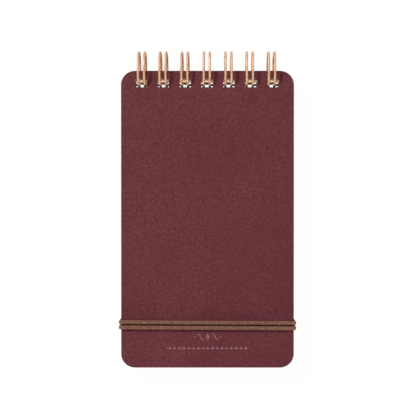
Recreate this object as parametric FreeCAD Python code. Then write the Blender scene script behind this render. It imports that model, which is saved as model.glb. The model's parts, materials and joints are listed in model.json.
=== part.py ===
"""Pocket memo pad, bound at its short top edge by a twin-loop wire and kept shut by a doubled elastic cord.

The closed pad lies on its back. +Z points out of the front cover, +Y from the free end towards the wire, and
the origin is at the middle of the pad's outline, on the surface that it lies on. All lengths are in
millimetres and all angles in degrees.

The sheets, both covers and the wire are laid out around the wire's own axis, which runs along X: in that
ring frame y is measured towards the wire's outer side and z towards the front cover. The covers and sheets
turn about this axis, because their holes ride along the round loops.
"""

import os
from math import asin, cos, degrees, floor, pi, radians, sin, sqrt

import FreeCAD
import Part

Vector = FreeCAD.Vector

# Covers
cover_width = 74.5
cover_length = 128.0
cover_thickness = 1.2
corner_radius = 6.0
cover_edge_bevel = 0.25

# Sheets
page_block_thickness = 5.6
page_side_margin = 0.75
page_free_end_margin = 1.5
page_bound_edge_margin = 0.4
closed_gap = 0.15  # between the sheets and the back cover at the free end
page_slide = 0.9  # the sheets have slid this far towards the free end, as their holes are longer than the wire is thick

# Twin-loop wire
wire_diameter = 1.0
pair_spacing = 2.6  # between the two strands of a loop
loop_crowding = 0.15  # the wire is pressed shut, so its loops are this much closer together than the holes
loop_row_offset = -0.1  # from the middle of the row of holes to the middle of the row of loops
bound_edge_to_axis = 0.9  # the wire's axis lies this far outside the front cover's bound edge
front_cover_height = 2.1  # from the wire's axis up to the front cover's inner face
back_cover_direction = 48.0  # degrees below the sheets at which the loops pass through the back cover
spine_bend_radius = 0.8
spine_stub_length = 1.2
strand_gap = 0.25  # between a loop's closed tip and the bends that it meets
spine_clearance = 0.2  # above and below the spine, between the sheets and the back cover
wire_sides = 8
loop_chords = 23
small_bend_chords = 3  # in a quarter turn

# Row of oblong holes along the bound edge
hole_pitch = 9.5
hole_height = 4.05
hole_corner_radius = 0.35
hole_side_clearance = 0.775  # on each side of a loop's pair of strands
hole_end_clearance = 0.25  # between the loops and the nearer short side of a hole
hole_row_margin = 5.0  # least distance from the end holes to the cover's sides
hole_row_offset = -0.2  # the row is punched this far off the cover's middle

# Doubled elastic cord
cord_diameter = 1.7
cord_gap = 0.5  # between the two cords
cord_inner_bend = 0.2  # radius on the inside of the bends round the covers' edges
cord_clearance = 0.1
cord_side_thickness = 0.95  # the stretched cord lies flatter where it goes round the covers' edges
cord_pair_height = 18.5  # from the covers' free end to the middle of the two cords
cord_slant = 0.3  # degrees: the right side sits lower than the left side
cord_sides = 12
cord_bend_chords = 4

# Heights in the ring frame, from the front cover down to the back cover
page_bottom = front_cover_height - page_block_thickness
spine_gap = wire_diameter + 2 * spine_clearance
spine_height = page_bottom - spine_gap / 2
back_cover_top = page_bottom - spine_gap
back_cover_bottom = back_cover_top - cover_thickness

# The loops are as large as it takes to carry this stack
ring_radius = -(back_cover_top + back_cover_bottom) / 2 / sin(radians(back_cover_direction))
ring_outer_radius = ring_radius + wire_diameter / 2
ring_inner_radius = ring_radius - wire_diameter / 2

# The loops pass near one short side of the front cover's holes, and near the other in the back cover
hole_width = pair_spacing + wire_diameter + 2 * hole_side_clearance
hole_count = 1 + floor((cover_width - hole_width - 2 * hole_row_margin) / hole_pitch)
hole_middle = hole_height / 2 - ring_outer_radius - hole_end_clearance
back_hole_middle = hole_end_clearance - sqrt(ring_inner_radius**2 - back_cover_bottom**2) - hole_height / 2

# The sheets and the front cover turn about the wire until they rest on the back cover
page_reach = cover_length + bound_edge_to_axis - page_free_end_margin + page_slide
closing_angle = degrees(asin((spine_gap - closed_gap) / page_reach))

# The pad lies on its loops and on the cords behind it
overall_length = cover_length + bound_edge_to_axis + ring_outer_radius
lowest_cord = cord_clearance + cord_diameter - back_cover_bottom
axis_place = Vector(0, overall_length / 2 - ring_outer_radius, max(ring_outer_radius, lowest_cord))


def row_places(pitch, middle):
    """X of each hole or loop in a row."""
    return [middle + pitch * (number - (hole_count - 1) / 2) for number in range(hole_count)]


def rounded_plate(width, length, thickness, radius, middle):
    """A plate with round corners. middle is the middle of its lower face."""
    corner = middle - Vector(width / 2, length / 2, 0)
    plate = Part.makeBox(width, length, thickness, corner)
    upright = [edge for edge in plate.Edges if abs(edge.tangentAt(edge.FirstParameter).z) > 0.5]
    return plate.makeFillet(radius, upright)


def punched(plate, bottom, thickness, row_y):
    """The plate with the row of holes cut through it."""
    holes = [
        rounded_plate(
            hole_width,
            hole_height,
            thickness + 2,
            hole_corner_radius,
            Vector(x, row_y, bottom - 1),
        )
        for x in row_places(hole_pitch, hole_row_offset)
    ]
    return plate.cut(Part.makeCompound(holes))


def cover(bottom, shift):
    """A cover in the ring frame, moved by shift along Y so that the loops pass through its holes."""
    middle_y = shift - bound_edge_to_axis - cover_length / 2
    plate = rounded_plate(cover_width, cover_length, cover_thickness, corner_radius, Vector(0, middle_y, bottom))
    rims = [edge for edge in plate.Edges if abs(edge.tangentAt(edge.FirstParameter).z) < 0.5]
    bevelled = plate.makeChamfer(min(cover_edge_bevel, cover_thickness * 0.45), rims)
    return punched(bevelled, bottom, cover_thickness, hole_middle + shift)


def closed_on_back(shape):
    """Turn a piece about the wire until its free end rests on the back cover, then put it in the pad."""
    turned = shape.copy()
    turned.rotate(Vector(0, 0, 0), Vector(1, 0, 0), closing_angle)
    turned.translate(axis_place)
    return turned


def front_cover():
    return closed_on_back(cover(front_cover_height, 0))


def back_cover():
    shape = cover(back_cover_bottom, back_hole_middle - hole_middle)
    shape.translate(axis_place)
    return shape


def page_block():
    width = cover_width - 2 * page_side_margin
    length = cover_length - page_free_end_margin - page_bound_edge_margin
    middle_y = -bound_edge_to_axis - page_bound_edge_margin - page_slide - length / 2
    block = rounded_plate(
        width,
        length,
        page_block_thickness,
        corner_radius - page_side_margin,
        Vector(0, middle_y, page_bottom),
    )
    return closed_on_back(punched(block, page_bottom, page_block_thickness, hole_middle - page_slide))


class BentRod:
    """A rod with a many-sided section, bent along a path in short chords.

    The flats of its section touch the round rod that it stands for. It starts at a place and goes on straight
    or in bends that are tangent to what came before, and it carries its section along without any twist.
    A rod that is pressed out of shape has two triangles in place of each flat, because its flats may be bent.
    """

    def __init__(self, diameter, sides, place, heading, across, pressed=None):
        corner = diameter / 2 / cos(pi / sides)
        other = heading.cross(across)
        turns = [2 * pi * (number + 0.5) / sides for number in range(sides)]
        self.section = [place + across * (corner * cos(turn)) + other * (corner * sin(turn)) for turn in turns]
        self.place = place
        self.heading = heading
        self.faces = []
        self.start = self.section
        self.pressed = pressed

    def advance(self, moved):
        """Join the section to its next place, which moved gives for each point."""
        ahead = [moved(point) for point in self.section]
        for number in range(len(ahead)):
            corners = [self.section[number - 1], self.section[number], ahead[number], ahead[number - 1]]
            if self.pressed is None:
                self.faces.append(Part.Face(Part.makePolygon([*corners, corners[0]])))
                continue
            first, second, third, fourth = [self.pressed(corner) for corner in corners]
            for triangle in ([first, second, third], [first, third, fourth]):
                self.faces.append(Part.Face(Part.makePolygon([*triangle, triangle[0]])))
        self.section = ahead
        self.place = moved(self.place)

    def straight(self, length):
        step = self.heading * length
        self.advance(lambda point: point + step)

    def bend(self, bend_radius, axis, angle, chords):
        """Turn by angle about axis, by the right-hand rule."""
        centre = self.place + axis.cross(self.heading) * (bend_radius if angle > 0 else -bend_radius)
        turn = FreeCAD.Rotation(axis, angle / chords)
        for _ in range(chords):
            self.advance(lambda point: centre + turn.multVec(point - centre))
            self.heading = turn.multVec(self.heading)

    def solid(self, closed=False):
        """The rod as a solid. A closed rod ends where it started, so it needs no end faces."""
        ends = [] if closed else [self.start, self.section]
        caps = [Part.Face(Part.makePolygon([*end, end[0]])) for end in ends]
        shell = Part.makeShell(self.faces + caps)
        shell.sewShape()
        solid = Part.Solid(shell)
        if solid.Volume < 0:
            solid.reverse()
        return solid


def spine_angle():
    """Where a strand leaves its loop for the spine, as an angle about the wire's axis from +Y.

    The bend to the spine runs on along the loop's tangent, so that the spine ends up at spine_height.
    """
    reach = sqrt(ring_radius**2 + spine_bend_radius**2)
    lead = degrees(asin(spine_bend_radius / reach))
    spine_direction = 180 + degrees(asin(-spine_height / reach))
    return spine_direction - lead


def loop_sweep():
    """How far a strand goes round, from the bend at the spine to the start of the loop's closed tip."""
    tip_radius = pair_spacing / 2
    nearest = tip_radius + spine_bend_radius + wire_diameter + strand_gap
    between = sqrt(nearest**2 - (tip_radius + spine_bend_radius) ** 2)
    return 360 - degrees(between / ring_radius)


def binding_wire():
    """One wire: each loop goes round, turns back at its tip and returns, and the spine links the loops."""
    along = Vector(1, 0, 0)
    start = radians(spine_angle())
    outwards = Vector(0, cos(start), sin(start))
    towards_spine = Vector(0, -sin(start), cos(start))
    tip_radius = pair_spacing / 2
    loop_pitch = hole_pitch - loop_crowding
    first_strand = row_places(loop_pitch, hole_row_offset + loop_row_offset)[0] - tip_radius
    corner = outwards * ring_radius + towards_spine * spine_bend_radius
    begin = corner + along * (first_strand - spine_bend_radius - spine_stub_length)
    link = loop_pitch - pair_spacing - 2 * spine_bend_radius

    rod = BentRod(wire_diameter, wire_sides, begin, along, outwards)
    rod.straight(spine_stub_length)
    for number in range(hole_count):
        rod.bend(spine_bend_radius, outwards, 90, small_bend_chords)
        rod.bend(ring_radius, along, -loop_sweep(), loop_chords)
        rod.bend(tip_radius, along.cross(rod.heading), -180, 2 * small_bend_chords)
        rod.bend(ring_radius, along, loop_sweep(), loop_chords)
        rod.bend(spine_bend_radius, outwards, 90, small_bend_chords)
        rod.straight(link if number < hole_count - 1 else spine_stub_length)
    wire = rod.solid()
    wire.translate(axis_place)
    return wire


def surface_height(y, ring_height):
    """Height of the closed front stack's surface at y, for a surface that lies at ring_height in the ring frame."""
    turn = radians(closing_angle)
    from_axis = y - axis_place.y
    return axis_place.z + ring_height / cos(turn) + from_axis * sin(turn) / cos(turn)


def elastic_cord(height_on_cover):
    """One closed cord around the shut pad, at a height above the covers' free end."""
    radius = cord_diameter / 2
    y = height_on_cover - overall_length / 2
    right = cover_width / 2 + cord_clearance + radius
    top = surface_height(y + radius, front_cover_height + cover_thickness) + cord_clearance + radius
    bottom = axis_place.z + back_cover_bottom - cord_clearance - radius
    bend_radius = radius + cord_inner_bend
    flat = 2 * (right - bend_radius)
    upright = top - bottom - 2 * bend_radius

    edge = cover_width / 2 + cord_clearance
    share = cord_side_thickness / cord_diameter

    def pressed(point):
        beyond = abs(point.x) - edge
        if beyond <= 0:
            return point
        return Vector((edge + beyond * share) * (1 if point.x > 0 else -1), point.y, point.z)

    rod = BentRod(cord_diameter, cord_sides, Vector(-flat / 2, y, top), Vector(1, 0, 0), Vector(0, 1, 0), pressed)
    for length in (flat, upright, flat, upright):
        rod.straight(length)
        rod.bend(bend_radius, Vector(0, 1, 0), 90, cord_bend_chords)
    cord = rod.solid(closed=True)
    cord.rotate(Vector(0, y, 0), Vector(0, 0, 1), -cord_slant)
    return cord


def main():
    cord_pitch = cord_diameter + cord_gap
    parts = {
        "front_cover": front_cover(),
        "page_block": page_block(),
        "back_cover": back_cover(),
        "binding_wire": binding_wire(),
        "elastic_cord_upper": elastic_cord(cord_pair_height + cord_pitch / 2),
        "elastic_cord_lower": elastic_cord(cord_pair_height - cord_pitch / 2),
    }
    os.makedirs("parts", exist_ok=True)
    for name, shape in parts.items():
        shape.exportStep(f"parts/{name}.step")
        box = shape.BoundBox
        print(
            f"{name}: {len(shape.Solids)} solid, {shape.Volume:.1f} mm3, valid {shape.isValid()}, "
            f"x {box.XMin:.2f} to {box.XMax:.2f}, y {box.YMin:.2f} to {box.YMax:.2f}, "
            f"z {box.ZMin:.2f} to {box.ZMax:.2f}"
        )


main()
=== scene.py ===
"""Pocket memo pad: wine-red leather covers, ivory sheets, a rose-coloured wire, an elastic cord.

The pad lies shut on its back in the frame of its solids: metres, +Z out of the front cover and +Y
from the free end towards the wire. The covers, the sheets and the wire are laid out around the
wire's own axis, which runs along X, and are then put in their place in the pad. Sizes are written
in millimetres and multiplied by MM.
"""

import json
import logging
import math
from collections.abc import Callable
from dataclasses import dataclass
from enum import Enum
from functools import partial
from typing import Any

import bmesh
import bpy
from bpy.types import ID, Material, Mesh, Node, NodeSocket, NodeTree, Object
from mathutils import Matrix, Vector
from mathutils.geometry import tessellate_polygon


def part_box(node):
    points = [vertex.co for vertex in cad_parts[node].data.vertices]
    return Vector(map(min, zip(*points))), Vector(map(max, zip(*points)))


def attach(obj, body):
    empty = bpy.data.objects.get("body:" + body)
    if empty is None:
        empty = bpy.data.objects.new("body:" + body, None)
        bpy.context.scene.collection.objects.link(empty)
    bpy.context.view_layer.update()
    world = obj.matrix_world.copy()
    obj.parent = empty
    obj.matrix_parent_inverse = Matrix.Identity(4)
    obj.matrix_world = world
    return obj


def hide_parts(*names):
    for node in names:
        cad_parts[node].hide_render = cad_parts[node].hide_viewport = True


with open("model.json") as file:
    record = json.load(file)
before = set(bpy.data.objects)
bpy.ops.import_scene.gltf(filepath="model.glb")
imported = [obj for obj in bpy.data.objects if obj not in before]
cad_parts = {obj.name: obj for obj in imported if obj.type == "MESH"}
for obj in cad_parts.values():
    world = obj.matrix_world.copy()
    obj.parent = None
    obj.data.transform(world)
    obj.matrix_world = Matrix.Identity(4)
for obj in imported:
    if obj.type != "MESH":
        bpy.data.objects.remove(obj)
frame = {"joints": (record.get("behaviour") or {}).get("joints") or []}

MM = 0.001
WELD = 0.001 * MM  # points nearer than this are one point
LEAF_TONE = "leaf_tone"  # these three are kept on the meshes, for the finishes to read
YARN_TONE = "yarn_tone"
YARN_HEIGHT = "yarn_height"
FAMILIES = ("ShaderNode", "GeometryNode", "FunctionNode", "")  # what a node type's name starts with
AddNode = Callable[..., Node]  # add_node, bound to a tree
log = logging.getLogger("memo_pad")


def linear(colour: str) -> tuple[float, float, float, float]:
    """Turn an sRGB colour into the linear values that a shader reads.

    Args:
        colour: the colour as "#RRGGBB".

    Returns:
        Red, green, blue and alpha.
    """
    parts = [int(colour[place : place + 2], 16) / 255 for place in (1, 3, 5)]
    red, green, blue = [p / 12.92 if p <= 0.04045 else ((p + 0.055) / 1.055) ** 2.4 for p in parts]
    return red, green, blue, 1.0


def add_node(tree: NodeTree, kind: str, *inputs: Any, **settings: Any) -> Node:
    """Add a node with its settings and links.

    Args:
        tree: the tree that gets the node.
        kind: the node's type, without its family.
        inputs: for each input in order a value, a socket to link from, a node for its first
            output, a vector with sockets or nodes in it, or a list of sockets and nodes. A dict at
            the end holds others by name or number.
        settings: the node's own properties.

    Returns:
        The new node.
    """
    family = next(family for family in FAMILIES if hasattr(bpy.types, family + kind))
    node = tree.nodes.new(family + kind)
    for name, value in settings.items():
        setattr(node, name, value)
    *ordered, named = inputs if inputs and isinstance(inputs[-1], dict) else (*inputs, {})
    for key, value in [*enumerate(ordered), *named.items()]:
        for item in value if isinstance(value, list) else [value]:
            if isinstance(item, tuple) and any(isinstance(n, (Node, NodeSocket)) for n in item):
                item = add_node(tree, "CombineXYZ", *item)
            if isinstance(item, Node):
                item = item.outputs[0]
            if isinstance(item, NodeSocket):
                tree.links.new(item, node.inputs[key])
            else:
                node.inputs[key].default_value = item
    return node


def put_in_scene(name: str, data: ID, place: Matrix | None = None) -> Object:
    """Put a mesh, a lamp or a camera in the scene, as an object at the origin.

    Args:
        name: the object's name.
        data: the mesh, lamp or camera.
        place: where a mesh goes, applied to its points.

    Returns:
        The object.
    """
    if place is not None:
        data.transform(place)
    item = bpy.data.objects.new(name, data)
    bpy.context.scene.collection.objects.link(item)
    return item


def clean_shell(mesh: Mesh) -> None:
    """Join a shell's doubled points, turn its faces outwards and keep flat faces flat.

    Args:
        mesh: the mesh of one or more closed shells.
    """
    shell = bmesh.new()
    shell.from_mesh(mesh)
    bmesh.ops.remove_doubles(shell, verts=shell.verts, dist=WELD)
    bmesh.ops.recalc_face_normals(shell, faces=shell.faces)
    for edge in shell.edges:
        if len({face.smooth for face in edge.link_faces}) > 1:
            edge.smooth = False
    shell.to_mesh(mesh)
    shell.free()


def hand_over(piece: Object, body: str, slot: str, *nodes: str) -> None:
    """Let a piece ride on its body in place of its plain solids, and report it.

    Args:
        piece: the finished piece.
        body: the body that it moves with.
        slot: not used.
        nodes: the solids that it stands for.
    """
    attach(piece, body)
    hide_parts(*nodes)
    log.info("%s rides on %s with %d faces", piece.name, body, len(piece.data.polygons))


class InputKind(Enum):
    """What a geometry tree's input holds, and the socket that carries it."""

    SIZE = (float, "NodeSocketFloat")
    COUNT = (int, "NodeSocketInt")
    FINISH = (Material, "NodeSocketMaterial")


class GeometryTree:
    """A geometry tree with named inputs, which is grown into a plain mesh."""

    def __init__(self, piece: Any, **more: Any) -> None:
        """Start an empty tree, whose inputs are all the numbers of the piece, and more.

        Args:
            piece: the piece that it makes.
            more: numbers worked out from the piece's own, and finishes.
        """
        self.name = piece.name
        self.tree = bpy.data.node_groups.new(self.name, "GeometryNodeTree")
        self.add = partial(add_node, self.tree)
        self.inputs = {}
        sockets = self.tree.interface
        sockets.new_socket("base", in_out="INPUT", socket_type="NodeSocketGeometry")
        for label, value in (vars(piece) | more).items():
            for holds, socket in (kind.value for kind in InputKind):
                if isinstance(value, holds):
                    made = sockets.new_socket(label, in_out="INPUT", socket_type=socket)
                    self.inputs[made.identifier] = value
        sockets.new_socket("piece", in_out="OUTPUT", socket_type="NodeSocketGeometry")
        self.source = self.add("NodeGroupInput")

    def __getitem__(self, name: str) -> NodeSocket:
        """The socket that carries a named input."""
        return self.source.outputs[name]

    def round_cornered(self, width: str, length: str, radius: str, steps: str) -> Node:
        """Draw a rectangle with round corners.

        Args:
            width: the input with its size along X.
            length: the one with its size along Y.
            radius: the one with its corners' radius.
            steps: the one with the number of points in a corner.

        Returns:
            The outline.
        """
        square = self.add("CurvePrimitiveQuadrilateral", self[width], self[length])
        corners = {"Radius": self[radius], "Count": self[steps]}
        return self.add("FilletCurve", square, corners, mode="POLY")

    def grow(self, piece: Node, base: Mesh | None = None) -> Mesh:
        """Run the tree and clean what it makes.

        Args:
            piece: what gives the finished geometry.
            base: the mesh that the tree starts from, if any.

        Returns:
            The result as a plain mesh.
        """
        self.add("NodeGroupOutput", {"piece": piece})
        stock = put_in_scene(self.name + "_stock", base or bpy.data.meshes.new(self.name))
        modifier = stock.modifiers.new(self.name, "NODES")
        modifier.node_group = self.tree
        for identifier, value in self.inputs.items():
            modifier[identifier] = value
        stock.update_tag()
        bpy.context.view_layer.update()
        graph = bpy.context.evaluated_depsgraph_get()
        mesh = bpy.data.meshes.new_from_object(
            stock.evaluated_get(graph), preserve_all_data_layers=True, depsgraph=graph
        )
        bpy.data.objects.remove(stock)
        clean_shell(mesh)
        return mesh


# Finishes


@dataclass(frozen=True)
class Pattern:
    """What a finish varies with: a texture with spots of a real size, or a value on the mesh."""

    name: str
    spot: float | None = None  # none for the value of this name that the mesh carries
    detail: float = 3.0
    roughness: float = 0.5
    softness: float | None = None  # how far the cells of a grain run together, none for clouds

    def draw(self, add: AddNode, place: Node) -> NodeSocket:
        """Add the pattern to a material.

        Args:
            add: adds a node to the material.
            place: where a point lies.

        Returns:
            The socket with its value.
        """
        if self.spot is None:
            return add("Attribute", attribute_name=self.name).outputs["Fac"]
        size = {"Scale": 1 / self.spot}
        if self.softness is None:
            clouds = size | {"Detail": self.detail, "Roughness": self.roughness}
            return add("TexNoise", place, clouds).outputs[0]
        cells = size | {"Smoothness": self.softness}
        return add("TexVoronoi", place, cells, feature="SMOOTH_F1").outputs[0]


@dataclass(frozen=True)
class Ramp:
    """A number that goes from start to end as a pattern goes from low to high."""

    pattern: str
    low: float = 0.0
    high: float = 1.0
    start: float = 0.0
    end: float = 1.0


Patterns = tuple[Pattern, ...]
Tints = tuple[tuple[str, Ramp], ...]
Surface = tuple[tuple[str, float | Ramp], ...]


def blank_material(name: str) -> tuple[Material, AddNode]:
    """Start a material.

    Args:
        name: its name.

    Returns:
        The material, and what adds a node to it.
    """
    material = bpy.data.materials.new(name)
    material.use_nodes = True
    material.node_tree.nodes.clear()
    return material, partial(add_node, material.node_tree)


@dataclass(frozen=True)
class Finish:
    """A base tone with tints laid over it in turn, a surface, and a bump of a real height."""

    name: str = "finish"
    colour: str = "#808080"
    patterns: Patterns = (Pattern("spots", 1.0 * MM),)
    tints: Tints = ()
    surface: Surface = (("Roughness", 0.5),)
    bump: str = "spots"
    hollows: tuple[tuple[str, float], ...] = ()  # patterns that lower the bump, and by what share
    relief: float = 0.01 * MM
    relief_strength: float = 0.5
    squeeze: float = 1.0  # how much shorter the spots are along Z

    def material(self) -> Material:
        """Make the material.

        Returns:
            The material.
        """
        material, add = blank_material(self.name)
        place = add("Mapping", add("TexCoord").outputs["Object"], {"Scale": (1, 1, self.squeeze)})
        drawn = {pattern.name: pattern.draw(add, place) for pattern in self.patterns}
        ramped = {
            ramp: add("MapRange", drawn[ramp.pattern], ramp.low, ramp.high, ramp.start, ramp.end)
            for _, ramp in self.tints + self.surface
            if isinstance(ramp, Ramp)
        }
        tone = linear(self.colour)
        for colour, ramp in self.tints:
            laid = {6: tone, 7: linear(colour)}
            tone = add("Mix", ramped[ramp], laid, data_type="RGBA").outputs[2]
        height = drawn[self.bump]
        for name, share in self.hollows:
            height = add("Math", drawn[name], -share, height, operation="MULTIPLY_ADD")
        raised = {"Strength": self.relief_strength, "Distance": self.relief, "Height": height}
        skin = {name: ramped.get(value, value) for name, value in self.surface}
        skin |= {"Base Color": tone, "Normal": add("Bump", raised)}
        add("OutputMaterial", add("BsdfPrincipled", skin))
        return material


@dataclass(frozen=True)
class BondedLeather(Finish):
    """Bonded leather, dyed through and embossed: a dull sheen that the fine grain breaks up."""

    name: str = "bonded_leather_wine_embossed"
    colour: str = "#794449"
    patterns: Patterns = (
        Pattern("cloud", 26.0 * MM, 2.0, 0.55),
        Pattern("crease", 1.3 * MM, 4.0, 0.55),
        Pattern("grain", 0.75 * MM, 2.0, 0.55),  # a little coarser than the real one, so it shows
        Pattern("pores", 0.75 * MM, softness=0.6),
    )
    tints: Tints = (
        ("#6F3B41", Ramp("cloud", 0.35, 0.65)),
        ("#592228", Ramp("crease", 0.38, 0.66, end=0.55)),
        ("#592228", Ramp("grain", 0.4, 0.7, end=0.55)),
        ("#592228", Ramp("pores", 0.12, 0.7, end=0.6)),
    )
    surface: Surface = (
        ("Roughness", Ramp("crease", 0.3, 0.7, 0.57, 0.7)),
        ("IOR", 1.5),
        ("Specular IOR Level", 0.12),  # a matt dressing takes most of the shine of bare leather
    )
    bump: str = "crease"
    hollows: tuple[tuple[str, float], ...] = (("pores", 0.7),)
    relief: float = 0.1 * MM
    relief_strength: float = 0.6


@dataclass(frozen=True)
class BurnishedLeather(Finish):
    """The same leather pressed flat by a heated tool: smoother, paler and a little greyer."""

    name: str = "burnished_leather_tooling"
    colour: str = "#946A6E"
    patterns: Patterns = (Pattern("spots", 1.4 * MM, 3.0, 0.55),)
    tints: Tints = (("#80555A", Ramp("spots", 0.38, 0.68)),)
    surface: Surface = (("Roughness", 0.42), ("IOR", 1.5))


@dataclass(frozen=True)
class CutLeatherBoard(Finish):
    """The die-cut edge of leather on board: matt fibres in thin layers, stained like the face."""

    name: str = "cut_leather_board_stained"
    colour: str = "#5E3033"
    patterns: Patterns = (Pattern("spots", 0.9 * MM, 3.0, 0.55),)
    tints: Tints = (("#7A4A45", Ramp("spots", 0.38, 0.68)),)
    surface: Surface = (("Roughness", 0.82), ("IOR", 1.45))
    relief: float = 0.03 * MM
    squeeze: float = 5.6  # the layers are far thinner than the fibres are long


@dataclass(frozen=True)
class LiningPaper(Finish):
    """Dyed lining paper glued inside the covers: plain and matt, with faint fibres."""

    name: str = "lining_paper_dyed"
    colour: str = "#5C3234"
    patterns: Patterns = (Pattern("spots", 1.1 * MM, 6.0, 0.55),)
    tints: Tints = (("#6A3F3F", Ramp("spots", 0.38, 0.68)),)
    surface: Surface = (("Roughness", 0.88), ("IOR", 1.45))
    relief: float = 0.012 * MM


@dataclass(frozen=True)
class WritingPaper(Finish):
    """Uncoated warm ivory writing paper: matt, with a faint cloudiness in the sheet."""

    name: str = "writing_paper_ivory"
    colour: str = "#F8DFC2"
    patterns: Patterns = (Pattern("spots", 2.6 * MM, 5.0, 0.55),)
    tints: Tints = (("#F0D3B2", Ramp("spots", 0.38, 0.68)),)
    surface: Surface = (("Roughness", 0.9), ("IOR", 1.45))
    relief: float = 0.006 * MM


@dataclass(frozen=True)
class GuillotinedPaper(Finish):
    """The cut edges of the sheets: each leaf has its own tone, so the block shows fine lines."""

    name: str = "guillotined_paper_edges"
    colour: str = "#F4D9BA"
    patterns: Patterns = (Pattern(LEAF_TONE), Pattern("dust", 3.0 * MM))
    tints: Tints = (
        ("#DCBC97", Ramp(LEAF_TONE)),
        ("#DCBC97", Ramp("dust", 0.4, 0.7, end=0.3)),
    )
    surface: Surface = (("Roughness", 0.92), ("IOR", 1.45))
    bump: str = "dust"
    relief: float = 0.008 * MM


@dataclass(frozen=True)
class CoatedWire(Finish):
    """Steel wire under pearly rose-gold enamel: satin, and a little metallic towards the light."""

    name: str = "steel_wire_rose_gold_enamelled"
    colour: str = "#D6AD8C"
    patterns: Patterns = (Pattern("cloud", 1.6 * MM), Pattern("grit", 0.12 * MM))
    tints: Tints = (("#C89A77", Ramp("cloud", 0.4, 0.68)),)
    surface: Surface = (
        ("Roughness", Ramp("cloud", 0.3, 0.7, 0.53, 0.65)),
        ("Metallic", 0.6),  # share of metal flake in the enamel, which keeps the default index
    )
    bump: str = "grit"
    relief: float = 0.004 * MM
    relief_strength: float = 0.25


@dataclass(frozen=True)
class BraidedElastic(Finish):
    """Brown yarn braided over rubber: matt and heathered, with shade painted in down between the
    yarns.
    """

    name: str = "braided_elastic_brown_heather"
    colour: str = "#AC8066"
    patterns: Patterns = (
        Pattern(YARN_TONE),
        Pattern(YARN_HEIGHT),
        Pattern("fuzz", 0.22 * MM),
        Pattern("heather", 1.1 * MM),
    )
    tints: Tints = (
        ("#764833", Ramp(YARN_TONE)),
        ("#764833", Ramp("heather", 0.38, 0.62, end=0.5)),
        # painted shade: the tone goes to near-black brown where a yarn sits low, down between the
        # yarns
        ("#38190F", Ramp(YARN_HEIGHT, 0.05, 0.7, 0.95, 0.0)),
    )
    surface: Surface = (("Roughness", 0.85), ("IOR", 1.5))
    bump: str = "fuzz"
    relief: float = 0.02 * MM
    relief_strength: float = 0.6


def seen_or_mirrored(add: AddNode) -> NodeSocket:
    """Tell the background that the eye, metal or glass sees from the light that falls on the pad.

    Args:
        add: adds a node to the floor's finish or to the world.

    Returns:
        The socket that gives 1 for what is seen and 0 for what only lights.
    """
    path = add("LightPath")
    seen = path.outputs["Is Camera Ray"]
    for ray in ("Is Glossy Ray", "Is Transmission Ray"):
        seen = add("Math", seen, path.outputs[ray], operation="MAXIMUM").outputs[0]
    return seen


@dataclass(frozen=True)
class PaperSweep:
    """The studio's white paper floor. It shows white by itself and still takes a soft shadow."""

    name: str = "studio_paper_white"
    colour: str = "#FFFFFF"
    glow: float = 0.97

    def material(self) -> Material:
        """Make the material.

        Returns:
            The material.
        """
        material, add = blank_material(self.name)
        share = add("Math", seen_or_mirrored(add), self.glow, operation="MULTIPLY")
        sides = [add(kind, linear(self.colour)) for kind in ("BsdfDiffuse", "Emission")]
        add("OutputMaterial", add("MixShader", share, *sides))
        return material


# The pad's layout


@dataclass(frozen=True)
class PadFrame:
    """The wire's axis, and how the front stack is turned about it when the pad is shut."""

    axis: Vector
    spine_gap: float = 1.4 * MM
    closed_gap: float = 0.15 * MM
    page_reach: float = 128.3 * MM

    @classmethod
    def from_solids(cls) -> "PadFrame":
        """Read the axis from the joint that the sheets turn about."""
        joint = next(joint for joint in frame["joints"] if joint["name"] == "back_cover_hinge")
        return cls(axis=Vector(joint["pos_m"]))

    def on_back(self) -> Matrix:
        """Place of what stays level: the back cover and the wire."""
        return Matrix.Translation(self.axis)

    def closed(self) -> Matrix:
        """Place of what leans on the back cover: the sheets and the front cover."""
        lean = math.asin((self.spine_gap - self.closed_gap) / self.page_reach)
        return self.on_back() @ Matrix.Rotation(lean, 4, "X")


@dataclass(frozen=True)
class HoleRow:
    """The row of oblong holes that the loops pass through."""

    count: int = 7
    pitch: float = 9.5 * MM
    width: float = 5.15 * MM
    height: float = 4.05 * MM
    corner_radius: float = 0.35 * MM
    corner_steps: int = 4
    middle_x: float = -0.2 * MM
    middle_y: float = -6.126 * MM

    def first(self, pitch: float, middle: float) -> float:
        """X of the first place in a row with as many places as there are holes."""
        return middle - pitch * (self.count - 1) / 2

    def inputs(self, shift: float, grow: float) -> dict[str, Any]:
        """The inputs of a tree that punches this row.

        Args:
            shift: how far the row is moved along Y.
            grow: how far each hole's outline is moved outwards.

        Returns:
            The inputs by name.
        """
        return dict(
            hole_width=self.width + 2 * grow,
            hole_height=self.height + 2 * grow,
            hole_radius=self.corner_radius + grow,
            hole_steps=self.corner_steps,
            hole_pitch=self.pitch,
            first_hole=self.first(self.pitch, self.middle_x),
            hole_row=self.middle_y + shift,
            hole_count=self.count,
        )

    def punch(self, geo: GeometryTree) -> Node:
        """Lay out the holes' outlines in their row.

        Args:
            geo: a tree with this row's inputs.

        Returns:
            The outlines.
        """
        start = geo["first_hole"], geo["hole_row"], 0.0
        row = {"Count": geo["hole_count"], "Start Location": start}
        line = geo.add("MeshLine", row | {"Offset": (geo["hole_pitch"], 0.0, 0.0)})
        hole = geo.round_cornered("hole_width", "hole_height", "hole_radius", "hole_steps")
        return geo.add("RealizeInstances", geo.add("InstanceOnPoints", line, {"Instance": hole}))


# Covers

Shape = tuple[list[Vector], list[Vector]]  # a rim, and the point that each part of it slopes to


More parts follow.
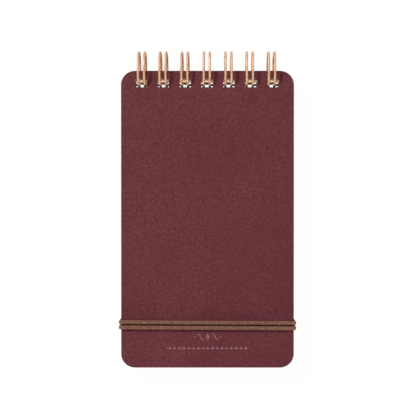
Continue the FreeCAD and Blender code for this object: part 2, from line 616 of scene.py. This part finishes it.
@dataclass(frozen=True)
class BlindTooling:
    """A roll of lozenges and beads under a waved ornament, pressed in without colour."""

    middle_x: float = 0.1 * MM
    wave_height: float = 13.4 * MM  # above the cover's free end
    wave_width: float = 11.9 * MM
    wave_rise: float = 3.6 * MM
    wave_steps: int = 24
    wave_run: tuple[float, float] = (0.1, 0.33)  # where a wave starts, and its run, of the width
    wave_swing: float = 0.42  # of the rise
    wave_fade: float = 0.35  # how much of its swing a wave loses on the way out
    wave_turn: tuple[float, float] = (0.04, 0.92)  # of a turn: where it starts, and how far it goes
    stroke_width: float = 0.5 * MM
    stroke_tip: float = 0.3  # of its width
    tip_bead: float = 0.3 * MM
    roll_height: float = 8.4 * MM  # above the cover's free end
    roll_width: float = 34.8 * MM
    roll_units: int = 17
    lozenge: tuple[float, float] = (0.72 * MM, 0.74 * MM)  # half its width and half its height
    centre_growth: float = 1.1  # of the ornament's middle lozenge against the roll's
    bead: float = 0.22 * MM
    hollow: float = 2.4  # the power that draws a lozenge's sides in
    turns: int = 16
    depth: float = 0.12 * MM
    floor_share: float = 0.7

    def unit_pitch(self) -> float:
        """Distance from lozenge to lozenge along the roll."""
        return self.roll_width / self.roll_units

    def oval(self, middle: Vector, half_x: float, half_y: float, power: float = 1.0) -> Shape:
        """Draw a bead, or with a power above 2 a lozenge with hollow sides.

        Args:
            middle: its middle on the face.
            half_x: half its width.
            half_y: half its height.
            power: how far its sides are drawn in.

        Returns:
            The shape.
        """
        rim = []
        for step in range(self.turns):
            turn = 2 * math.pi * step / self.turns
            x, y = [math.copysign(abs(n) ** power, n) for n in (math.cos(turn), math.sin(turn))]
            rim.append(middle + Vector((half_x * x, half_y * y, 0)))
        return rim, [middle] * self.turns

    def wave(self, side: int, middle: Vector) -> Shape:
        """Draw the wave that runs away from the middle ornament and thins out at both ends.

        Args:
            side: 1 for the right wave, -1 for the left.
            middle: the middle of the ornament.

        Returns:
            The shape.
        """
        line, halves = [], []
        for step in range(self.wave_steps + 1):
            share = step / self.wave_steps
            out = self.wave_width * (self.wave_run[0] + self.wave_run[1] * share)
            turn = 2 * math.pi * (self.wave_turn[0] + self.wave_turn[1] * share)
            swing = self.wave_rise * self.wave_swing * (1 - self.wave_fade * share)
            line.append(middle + Vector((side * out, side * swing * math.sin(turn), 0)))
            thick = self.stroke_tip + (1 - self.stroke_tip) * math.sin(math.pi * share)
            halves.append(self.stroke_width / 2 * thick)
        across = []
        for n, half in enumerate(halves):
            ahead = (line[min(n + 1, self.wave_steps)] - line[max(n - 1, 0)]).normalized()
            across.append(Vector((-ahead.y, ahead.x, 0)) * half)
        right, left = [p - a for p, a in zip(line, across)], [p + a for p, a in zip(line, across)]
        return right + left[::-1], line + line[::-1]

    def press(self, bowls: bmesh.types.BMesh, shape: Shape, repeats: bool) -> None:
        """Press a shape in.

        Args:
            bowls: what takes the bowl that it leaves, open at the face.
            shape: the shape.
            repeats: whether the bowl repeats along the roll.
        """
        sunk = Vector((0, 0, self.depth))
        bottom = [middle.lerp(point, self.floor_share) - sunk for point, middle in zip(*shape)]
        rim, floor = [[bowls.verts.new(point) for point in ring] for ring in (shape[0], bottom)]
        for vert in rim + floor:
            vert[bowls.verts.layers.float["repeats"]] = float(repeats)
        for n in range(len(rim)):
            bowls.faces.new([rim[n - 1], rim[n], floor[n], floor[n - 1]])
        for corners in tessellate_polygon([bottom]):
            bowls.faces.new([floor[n] for n in corners])

    def mesh(self, free_end: float, face: float) -> Mesh:
        """Make the ornament, one unit of the roll and the roll's last bead.

        Args:
            free_end: y of the cover's free end.
            face: z of the cover's outer face.

        Returns:
            The bowls, open at the face.
        """
        emblem = Vector((self.middle_x, free_end + self.wave_height, face))
        start = Vector((self.middle_x - self.roll_width / 2, free_end + self.roll_height, face))
        half_pitch = Vector((self.unit_pitch() / 2, 0, 0))
        tip = Vector((self.wave_width / 2 - self.tip_bead, 0, 0))
        centre = self.lozenge[0] * self.centre_growth
        bowls = bmesh.new()
        bowls.verts.layers.float.new("repeats")
        for repeats, shape in (
            (False, self.oval(emblem, centre, self.wave_rise / 2, self.hollow)),
            *[(False, self.wave(side, emblem)) for side in (1, -1)],
            *[(False, self.oval(emblem + at, self.tip_bead, self.tip_bead)) for at in (tip, -tip)],
            (True, self.oval(start, self.bead, self.bead)),
            (True, self.oval(start + half_pitch, *self.lozenge, self.hollow)),
            (False, self.oval(start + Vector((self.roll_width, 0, 0)), self.bead, self.bead)),
        ):
            self.press(bowls, shape, repeats)
        mesh = bpy.data.meshes.new("tooling_bowls")
        bowls.to_mesh(mesh)
        bowls.free()
        return mesh


class CoverFace(Enum):
    """Which way a cover's leather looks."""

    UP = 1
    DOWN = -1


@dataclass(frozen=True)
class CoverFinishes:
    """What a cover is finished with."""

    leather: Material
    cut_edge: Material
    lining: Material
    pressed: Material


@dataclass
class Cover:
    """A stiff leather cover with round corners, a soft edge and the row of holes."""

    name: str
    holes: HoleRow
    face: CoverFace
    bottom: float  # height of its lower face above the wire's axis
    shift: float = 0.0  # along Y, from where the front cover lies
    tooling: BlindTooling | None = None
    width: float = 74.5 * MM
    length: float = 128.0 * MM
    thickness: float = 1.2 * MM
    corner_radius: float = 6.0 * MM
    corner_steps: int = 14
    edge_round: float = 0.25 * MM
    hole_round: float = 0.12 * MM
    round_steps: int = 4
    bound_edge_to_axis: float = 0.9 * MM

    def rims(
        self, geo: GeometryTree, outline: Node, rounding: str, side: int, finishes: list[str]
    ) -> list[Node]:
        """Sweep an edge with two rounded corners along an outline.

        Args:
            geo: the cover's tree.
            outline: the outline of the flat faces.
            rounding: the input that holds the radius.
            side: 1 where the edge stands outside the outline, -1 inside it.
            finishes: of the lower rounding, the wall and the upper rounding.

        Returns:
            The three strips.
        """
        add, radius = geo.add, geo[rounding]
        out, low = [add("Math", radius, float(n), operation="MULTIPLY") for n in (side, -1)]
        high = add("Math", radius, geo["thickness"], operation="SUBTRACT")
        wall = add("CurvePrimitiveLine", {"Start": (out, low, 0.0), "End": (out, high, 0.0)})
        bends = []
        for level, start in ((low, math.pi / 2), (high, 0.0 if side > 0 else math.pi)):
            turn = {"Start Angle": start, "Sweep Angle": -side * math.pi / 2}
            arc = add("CurveArc", {"Resolution": self.round_steps + 1, "Radius": radius} | turn)
            bends.append(add("Transform", arc, {"Translation": (0.0, level, 0.0)}))
        strips = []
        for profile, finish in zip((bends[0], wall, bends[1]), finishes):
            strip = add("SetShadeSmooth", add("CurveToMesh", outline, profile))
            strips.append(add("SetMaterial", strip, {"Material": geo[finish]}))
        return strips

    def roll(self, geo: GeometryTree) -> tuple[Node, Node]:
        """Repeat the roll's unit along the cover.

        Args:
            geo: the cover's tree, whose base is the tooling's bowls.

        Returns:
            All bowls, and their rims.
        """
        add = geo.add
        units = add("SeparateGeometry", geo["base"], add("InputNamedAttribute", "repeats"))
        row = add("MeshLine", {"Count": geo["roll_units"], "Offset": (geo["roll_pitch"], 0.0, 0.0)})
        rolled = add("InstanceOnPoints", row, {"Instance": units.outputs["Selection"]})
        bowls = add("JoinGeometry", [add("RealizeInstances", rolled), units.outputs["Inverted"]])
        faces = {2: add("InputMeshEdgeNeighbors"), 3: 1}
        open_edge = add("Compare", faces, data_type="INT", operation="EQUAL")
        return bowls, add("MeshToCurve", bowls, {"Selection": open_edge})

    def build(self, place: Matrix, finishes: CoverFinishes) -> Object:
        """Cut, punch, tool and finish the cover.

        Args:
            place: where it goes in the pad.
            finishes: what it is finished with.

        Returns:
            The piece.
        """
        tooling = self.tooling or BlindTooling()
        middle = self.shift - self.bound_edge_to_axis - self.length / 2
        geo = GeometryTree(
            self,
            flat_width=self.width - 2 * self.edge_round,
            flat_length=self.length - 2 * self.edge_round,
            flat_radius=self.corner_radius - self.edge_round,
            middle=middle,
            roll_pitch=tooling.unit_pitch(),
            roll_units=tooling.roll_units,
            **vars(finishes),
            **self.holes.inputs(self.shift, self.hole_round),
        )
        add = geo.add
        sheet = geo.round_cornered("flat_width", "flat_length", "flat_radius", "corner_steps")
        outline = add("Transform", sheet, {"Translation": (0.0, geo["middle"], 0.0)})
        holes = self.holes.punch(geo)
        bowls, bowl_rims = self.roll(geo)
        parts = []
        for side, finish, curves in (
            (CoverFace.UP, "leather", [outline, holes, bowl_rims]),
            (CoverFace.DOWN, "lining", [outline, holes]),
        ):
            flat = add("FillCurve", add("JoinGeometry", curves))
            if side is self.face:
                flat = add("Transform", flat, {"Translation": (0.0, 0.0, geo["thickness"])})
            parts.append(add("SetMaterial", flat, {"Material": geo[finish]}))
        wrapped = ["cut_edge", "cut_edge", "leather"][:: self.face.value]
        parts += self.rims(geo, outline, "edge_round", 1, wrapped)
        parts += self.rims(geo, holes, "hole_round", -1, ["cut_edge"] * 3)
        parts.append(add("SetMaterial", bowls, {"Material": geo["pressed"]}))
        welded = add("MergeByDistance", add("JoinGeometry", parts), {"Distance": WELD})
        lifted = add("Transform", welded, {"Translation": (0.0, 0.0, geo["bottom"])})
        base = tooling.mesh(middle - self.length / 2, self.thickness) if self.tooling else None
        return put_in_scene(self.name, geo.grow(lifted, base), place)


# Sheets


@dataclass
class SheetStack:
    """The sheets, leaf by leaf. Each leaf has its round corners and its row of holes."""

    holes: HoleRow
    name: str = "sheets"
    corner_steps: int = 10
    side_margin: float = 0.75 * MM
    free_end_margin: float = 2.2 * MM
    bound_edge_margin: float = 0.4 * MM
    slide: float = 1.6 * MM  # of the uppermost leaf, towards the free end, until it nears the loops
    lag: float = 0.55 * MM  # the lowest leaf has slid this much less
    top: float = 2.1 * MM  # height above the wire's axis of the uppermost leaf
    leaf_pitch: float = 0.1 * MM
    leaf_thickness: float = 0.094 * MM
    leaf_count: int = 56
    unevenness: float = 0.03 * MM
    upright: float = 0.5  # a face is a cut edge where its normal rises less than this
    seed: int = 11

    def leaf(self, geo: GeometryTree) -> Node:
        """Cut and punch one leaf.

        Args:
            geo: the stack's tree.

        Returns:
            The closed leaf.
        """
        add = geo.add
        sheet = geo.round_cornered("width", "length", "corner_radius", "corner_steps")
        outline = add("Transform", sheet, {"Translation": (0.0, geo["middle"], 0.0)})
        face = add("FillCurve", add("JoinGeometry", [outline, self.holes.punch(geo)]))
        up = {"Offset": (0, 0, 1), "Offset Scale": geo["leaf_thickness"], "Individual": False}
        raised = add("ExtrudeMesh", face, up)
        leaf = add("JoinGeometry", [raised, add("FlipFaces", face)])
        return add("MergeByDistance", leaf, {"Distance": WELD})

    def build(self, place: Matrix, faces: Material, edges: Material) -> Object:
        """Stack the leaves, each a little off its place and in its own tone.

        Args:
            place: where they go in the pad.
            faces: the finish of the leaves.
            edges: the finish of their cut edges.

        Returns:
            The piece.
        """
        length = Cover.length - self.free_end_margin - self.bound_edge_margin
        geo = GeometryTree(
            self,
            width=Cover.width - 2 * self.side_margin,
            length=length,
            corner_radius=Cover.corner_radius - self.side_margin,
            middle=-Cover.bound_edge_to_axis - self.bound_edge_margin - self.slide - length / 2,
            leaf_lag=-self.lag / (self.leaf_count - 1),
            bottom=self.top - self.leaf_count * self.leaf_pitch,
            least=-self.unevenness,
            faces=faces,
            edges=edges,
            **self.holes.inputs(-self.slide, 0.0),
        )
        add = geo.add
        leaf = self.leaf(geo)
        row = {"Count": geo["leaf_count"], "Start Location": (0.0, geo["lag"], geo["bottom"])}
        places = add("MeshLine", row | {"Offset": (0.0, geo["leaf_lag"], geo["leaf_pitch"])})
        nudges = []
        for number in (0.0, 1.0):
            seed = add("Math", geo["seed"], number, operation="ADD")
            reach = {2: geo["least"], 3: geo["unevenness"], "Seed": seed}
            nudges.append(add("RandomValue", reach).outputs[1])
        loose = add("SetPosition", places, {"Offset": (*nudges, 0.0)})
        leaves = add("InstanceOnPoints", loose, {"Instance": leaf})
        tone = add("RandomValue", {2: 0.0, 3: 1.0, "Seed": geo["seed"]}).outputs[1]
        kept = {"Name": LEAF_TONE, "Value": tone}
        toned = add("StoreNamedAttribute", leaves, kept, domain="INSTANCE")
        real = add("RealizeInstances", toned)
        rise = add("SeparateXYZ", add("InputNormal")).outputs["Z"]
        steep = add("Math", rise, operation="ABSOLUTE")
        cut = add("Compare", steep, self.upright, operation="LESS_THAN")
        faced = add("SetMaterial", real, {"Material": geo["faces"]})
        edged = add("SetMaterial", faced, {"Selection": cut, "Material": geo["edges"]})
        return put_in_scene(self.name, geo.grow(edged), place)


# Wire


@dataclass
class WirePath:
    """The centre line of one loop, made of straight runs and tangent bends."""

    place: Vector
    heading: Vector
    points: list[Vector]

    def straight(self, length: float) -> None:
        """Go straight on, for a length."""
        self.place = self.place + self.heading * length
        self.points.append(self.place)

    def bend(self, radius: float, axis: Vector, degrees: float, steps: int) -> None:
        """Turn about an axis by the right-hand rule, along an arc.

        Args:
            radius: of the arc.
            axis: what the turn is about.
            degrees: how far to turn, less than 0 for the other way.
            steps: points along the arc.
        """
        centre = self.place + axis.cross(self.heading) * math.copysign(radius, degrees)
        turn = Matrix.Rotation(math.radians(degrees) / steps, 3, axis)
        for _ in range(steps):
            self.place = centre + turn @ (self.place - centre)
            self.heading = turn @ self.heading
            self.points.append(self.place)


@dataclass
class TwinLoopWire:
    """One wire bent into a row of twin loops, which a straight spine links behind the sheets."""

    holes: HoleRow
    name: str = "twin_loop_wire"
    diameter: float = 1.0 * MM
    pair_spacing: float = 2.6 * MM
    loop_crowding: float = 0.15 * MM
    row_offset: float = -0.1 * MM
    ring_radius: float = 7.401 * MM
    spine_height: float = -4.2 * MM
    spine_bend_radius: float = 0.8 * MM
    spine_stub: float = 1.2 * MM
    strand_gap: float = 0.75 * MM
    lean: float = 0.03  # the most that a loop leans sideways, as a share of its height
    seed: int = 2826
    loop_steps: int = 84
    tip_steps: int = 16
    bend_steps: int = 7
    section_points: int = 16
    link_weld: float = 5 * WELD  # loops whose ends lie nearer than this are linked
    sharp_angle: float = 50.0  # degrees between faces, beyond which their edge stays sharp

    def loop_pitch(self) -> float:
        """Distance from loop to loop, a little less than the holes': the wire is pressed shut."""
        return self.holes.pitch - self.loop_crowding

    def half_link(self) -> float:
        """Half the straight wire between two loops."""
        return (self.loop_pitch() - self.pair_spacing) / 2 - self.spine_bend_radius

    def one_loop(self) -> Mesh:
        """Draw the centre line of one loop, from the middle of one link to that of the next.

        Returns:
            The line as a mesh without faces.
        """
        along = Vector((1, 0, 0))
        tip, bend = self.pair_spacing / 2, self.spine_bend_radius
        # A strand leaves its loop at the angle, from +Y, from which one bend leads into the spine.
        reach = math.hypot(self.ring_radius, bend)
        start = math.pi + math.asin(-self.spine_height / reach) - math.asin(bend / reach)
        outwards = Vector((0, math.cos(start), math.sin(start)))
        towards_spine = Vector((0, -math.sin(start), math.cos(start)))
        # It goes almost once round, so that its closed tip stays clear of the spine.
        clear = math.sqrt((tip + bend + self.diameter + self.strand_gap) ** 2 - (tip + bend) ** 2)
        sweep = 360 - math.degrees(clear / self.ring_radius)
        corner = outwards * self.ring_radius + towards_spine * bend
        begin = corner - along * (tip + bend + self.half_link())
        path = WirePath(begin, along, [begin])
        path.straight(self.half_link())
        path.bend(bend, outwards, 90, self.bend_steps)
        path.bend(self.ring_radius, along, -sweep, self.loop_steps)
        path.bend(tip, along.cross(path.heading), -180, self.tip_steps)
        path.bend(self.ring_radius, along, sweep, self.loop_steps)
        path.bend(bend, outwards, 90, self.bend_steps)
        path.straight(self.half_link())
        mesh = bpy.data.meshes.new(self.name + "_line")
        mesh.from_pydata(path.points, [(n, n + 1) for n in range(len(path.points) - 1)], [])
        return mesh

    def leant(self, geo: GeometryTree, loops: Node) -> Node:
        """Lean each loop sideways a little, as a loop bent in a die never stands quite square.

        Args:
            geo: the wire's tree.
            loops: the upright loops.

        Returns:
            The loops' lines, which still meet: the lean starts above the spine.
        """
        add = geo.add
        reach = {2: geo["least"], 3: geo["lean"], "Seed": geo["seed"]}
        kept = {"Name": "lean", "Value": add("RandomValue", reach).outputs[1]}
        leaning = add("StoreNamedAttribute", loops, kept, domain="INSTANCE")
        real = add("RealizeInstances", leaning)
        here = add("SeparateXYZ", add("InputPosition")).outputs["Z"]
        rise = add("Math", here, geo["spine_height"], operation="SUBTRACT")
        above = add("Math", rise, 0.0, operation="MAXIMUM")
        aside = add("Math", add("InputNamedAttribute", "lean"), above, operation="MULTIPLY")
        return add("SetPosition", real, {"Offset": (aside, 0.0, 0.0)})

    def build(self, place: Matrix, finish: Material) -> Object:
        """Link the loops in a row and give the line its round section.

        Args:
            place: where it goes in the pad.
            finish: its finish.

        Returns:
            The piece.
        """
        pitch = self.loop_pitch()
        geo = GeometryTree(
            self,
            loop_pitch=pitch,
            first_loop=self.holes.first(pitch, self.holes.middle_x + self.row_offset),
            loop_count=self.holes.count,
            wire_radius=self.diameter / 2,
            cut_off=self.half_link() - self.spine_stub,
            least=-self.lean,
            finish=finish,
        )
        add = geo.add
        row = {"Count": geo["loop_count"], "Start Location": (geo["first_loop"], 0.0, 0.0)}
        places = add("MeshLine", row | {"Offset": (geo["loop_pitch"], 0.0, 0.0)})
        loops = add("InstanceOnPoints", places, {"Instance": geo["base"]})
        linked = add("MergeByDistance", self.leant(geo, loops), {"Distance": self.link_weld})
        line = add("MeshToCurve", linked)
        begin = add("Math", geo["cut_off"], add("CurveLength", line), operation="DIVIDE")
        end = add("Math", 1.0, begin, operation="SUBTRACT")
        cut = add("TrimCurve", line, {2: begin, 3: end})
        circle = {"Resolution": geo["section_points"], "Radius": geo["wire_radius"]}
        rod = add("CurveToMesh", cut, add("CurvePrimitiveCircle", circle), {"Fill Caps": True})
        coated = add("SetMaterial", add("SetShadeSmooth", rod), {"Material": geo["finish"]})
        mesh = geo.grow(coated, self.one_loop())
        mesh.set_sharp_from_angle(angle=math.radians(self.sharp_angle))
        return put_in_scene(self.name, mesh, place)


# Elastic cord


@dataclass
class ElasticCord:
    """One strand of the doubled elastic, braided, tight round the shut pad."""

    name: str
    node: str
    diameter: float = 1.7 * MM
    inner_bend: float = 0.2 * MM
    bend_steps: int = 16
    slant: float = 0.3  # degrees that the right side sits lower
    drift: float = -0.07 * MM  # along Y, where the stretched strand has rolled a little
    free_half: float = 37.35 * MM  # beyond this the cord goes round the covers' edges
    side_thickness: float = 0.95 * MM  # the stretched cord lies flatter there
    yarns_around: int = 8
    yarn_pitch: float = 0.8 * MM
    samples: int = 6  # of the mesh across a yarn
    relief: float = 0.17 * MM
    joint_guard: float = 0.001  # of a yarn, so that rounding can't split one at the cord's joint
    yarn_stride: float = 64.0  # more than the yarns that wind one way round
    seed: int = 5

    def tube(self, geo: GeometryTree, yarns: list[NodeSocket]) -> tuple[Node, list[Node]]:
        """Run the bare cord round the pad.

        Args:
            geo: the cord's tree.
            yarns: how many lie along it and around it.

        Returns:
            The tube, and what tells how far along and around it a point lies.
        """
        add = geo.add
        counts = [add("Math", n, geo["samples"], operation="MULTIPLY") for n in yarns]
        way = geo.round_cornered("width", "height", "bend_radius", "bend_steps")
        upright = add("Transform", way, {"Rotation": (math.pi / 2, 0.0, 0.0)})
        even = add("ResampleCurve", upright, {"Count": counts[0]})
        core = add("Math", geo["cord_radius"], geo["relief"], operation="SUBTRACT")
        ring = add("CurvePrimitiveCircle", {"Resolution": counts[1], "Radius": core})
        marked, shares = [], []
        for curve, name in ((even, "share_along"), (ring, "share_around")):
            share = add("SplineParameter").outputs["Factor"]
            marked.append(add("StoreNamedAttribute", curve, {"Name": name, "Value": share}))
            shares.append(add("InputNamedAttribute", name))
        return add("CurveToMesh", *marked), shares

    def braid(self, width: float, height: float, finish: Material) -> Mesh:
        """Make the cord and braid its skin.

        Two sets of yarns wind opposite ways, and a yarn stands proud in the middle of each
        crossing. The yarns' numbers wrap at the cord's joint, so their tones meet there.

        Args:
            width: of its centre line, along X.
            height: of its centre line, along Z.
            finish: its finish.

        Returns:
            The cord, around its own middle.
        """
        bend = self.diameter / 2 + self.inner_bend
        way = 2 * (width + height) - (8 - 2 * math.pi) * bend
        geo = GeometryTree(
            self,
            width=width,
            height=height,
            bend_radius=bend,
            cord_radius=self.diameter / 2,
            yarns_along=round(way / self.yarn_pitch),
            finish=finish,
        )
        add = geo.add
        yarns = [geo["yarns_along"], geo["yarns_around"]]
        skin, shares = self.tube(geo, yarns)
        ways = [add("Math", s, n, operation="MULTIPLY") for s, n in zip(shares, yarns)]
        bulges, numbers = [], []
        for operation, count in zip(("ADD", "SUBTRACT"), yarns):
            wound = add("Math", *ways, operation=operation)
            wave = add("Math", add("Math", wound, math.pi, operation="MULTIPLY"), operation="SINE")
            bulges.append(add("Math", wave, operation="ABSOLUTE"))
            past = add("Math", wound, self.joint_guard, operation="ADD")
            whole = add("Math", past, operation="FLOOR")
            numbers.append(add("Math", whole, count, operation="FLOORED_MODULO"))
        proud = add("Math", add("Math", *bulges, operation="MULTIPLY"), operation="SQRT")
        own = add("Math", numbers[0], self.yarn_stride, numbers[1], operation="MULTIPLY_ADD")
        tone = add("RandomValue", {2: 0.0, 3: 1.0, "ID": own, "Seed": geo["seed"]}).outputs[1]
        for name, value in ((YARN_HEIGHT, proud), (YARN_TONE, tone)):
            skin = add("StoreNamedAttribute", skin, {"Name": name, "Value": value})
        lift = add("Math", proud, geo["relief"], operation="MULTIPLY")
        out = add("VectorMath", add("InputNormal"), {"Scale": lift}, operation="SCALE")
        smooth = add("SetShadeSmooth", add("SetPosition", skin, {"Offset": out}))
        return geo.grow(add("SetMaterial", smooth, {"Material": geo["finish"]}))

    def build(self, finish: Material) -> Object:
        """Make the strand where its solid lies.

        Args:
            finish: its finish.

        Returns:
            The piece.
        """
        low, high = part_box(self.node)
        middle = (low + high) / 2 + Vector((0, self.drift, 0))
        width = 2 * self.free_half + self.diameter
        mesh = self.braid(width, high.z - low.z - self.diameter, finish)
        share = self.side_thickness / self.diameter
        for vert in mesh.vertices:
            beyond = abs(vert.co.x) - self.free_half
            if beyond > 0:
                vert.co.x = math.copysign(self.free_half + beyond * share, vert.co.x)
        turn = Matrix.Rotation(math.radians(-self.slant), 4, "Z")
        return put_in_scene(self.name, mesh, Matrix.Translation(middle) @ turn)


# Studio


@dataclass(frozen=True)
class Lamp:
    """A soft square lamp that looks at the pad: its place, its side in metres and its watts."""

    name: str
    place: tuple[float, float, float]
    size: float
    power: float

    def hang(self) -> None:
        """Hang the lamp."""
        data = bpy.data.lights.new(self.name, "AREA")
        data.shape = "SQUARE"
        data.size = self.size
        data.energy = self.power
        lamp = put_in_scene(self.name, data)
        lamp.location = self.place
        lamp.rotation_euler = (-Vector(self.place)).to_track_quat("-Z", "Y").to_euler()


@dataclass
class Studio:
    """A pale floor, soft plain light from the upper left, and a camera that looks straight down."""

    lamps: tuple[Lamp, ...] = (
        Lamp("key_lamp", (-0.66, 0.76, 1.0), 0.32, 16.5),
        Lamp("fill_lamp", (0.9, -0.3, 0.5), 0.5, 1.5),
        Lamp("low_lamp", (-0.1, -1.0, 0.2), 0.3, 5.5),  # lights the loops from the free end
    )
    camera_place: tuple[float, float, float] = (0.22 * MM, 0.51 * MM, 441.0 * MM)
    lens: float = 86.42
    sensor_width: float = 36.0
    clip: tuple[float, float] = (0.01, 20.0)
    floor_half: float = 3.0
    floor_drop: float = 0.02 * MM
    world_strength: float = 0.23

    def floor(self) -> None:
        """Lay the floor just under the pad."""
        half, level = self.floor_half, -self.floor_drop
        corners = [(x * half, y * half, level) for x, y in ((-1, -1), (1, -1), (1, 1), (-1, 1))]
        mesh = bpy.data.meshes.new("studio_floor")
        mesh.from_pydata(corners, [], [(0, 1, 2, 3)])
        mesh.materials.append(PaperSweep().material())
        put_in_scene("studio_floor", mesh)

    def world(self) -> None:
        """Give plain light from all round, which is white where it is seen."""
        world = bpy.data.worlds.new("studio_air")
        world.use_nodes = True
        world.node_tree.nodes.clear()
        add = partial(add_node, world.node_tree)
        sides = [add("Background", (1, 1, 1, 1), light) for light in (self.world_strength, 1.0)]
        add("OutputWorld", add("MixShader", seen_or_mirrored(add), *sides))
        bpy.context.scene.world = world

    def camera(self) -> None:
        """Set up the camera over the pad."""
        data = bpy.data.cameras.new("camera")
        data.sensor_width = self.sensor_width
        data.lens = self.lens
        data.clip_start, data.clip_end = self.clip
        camera = put_in_scene("camera", data)
        camera.location = self.camera_place
        bpy.context.scene.camera = camera

    def build(self) -> None:
        """Set up the whole studio."""
        self.floor()
        for lamp in self.lamps:
            lamp.hang()
        self.world()
        self.camera()
        bpy.context.scene.view_settings.view_transform = "Standard"


def main() -> None:
    """Build the pad's pieces in order, then the studio."""
    logging.basicConfig(level=logging.INFO, format="%(message)s")
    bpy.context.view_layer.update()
    pad = PadFrame.from_solids()
    holes = HoleRow()
    finishes = CoverFinishes(
        BondedLeather().material(),
        CutLeatherBoard().material(),
        LiningPaper().material(),
        BurnishedLeather().material(),
    )

    tooling = BlindTooling()
    front = Cover("front_cover_leather", holes, CoverFace.UP, bottom=2.1 * MM, tooling=tooling)
    hand_over(front.build(pad.closed(), finishes), "front_cover", "cover_leather", "front_cover")

    back = Cover("back_cover_leather", holes, CoverFace.DOWN, bottom=-6.1 * MM, shift=1.137 * MM)
    hand_over(back.build(pad.on_back(), finishes), "back_cover", "cover_leather", "back_cover")

    paper = WritingPaper().material(), GuillotinedPaper().material()
    sheets = SheetStack(holes).build(pad.closed(), *paper)
    hand_over(sheets, "bound_sheets", "sheets", "page_block")

    wire = TwinLoopWire(holes).build(pad.on_back(), CoatedWire().material())
    hand_over(wire, "bound_sheets", "coated_wire", "binding_wire")

    elastic = BraidedElastic().material()
    for side in ("upper", "lower"):
        node = f"elastic_cord_{side}"
        strand = ElasticCord(f"braided_cord_{side}", node).build(elastic)
        hand_over(strand, "elastic_band", "elastic", node)

    Studio().build()


if __name__ == "__main__":
    main()
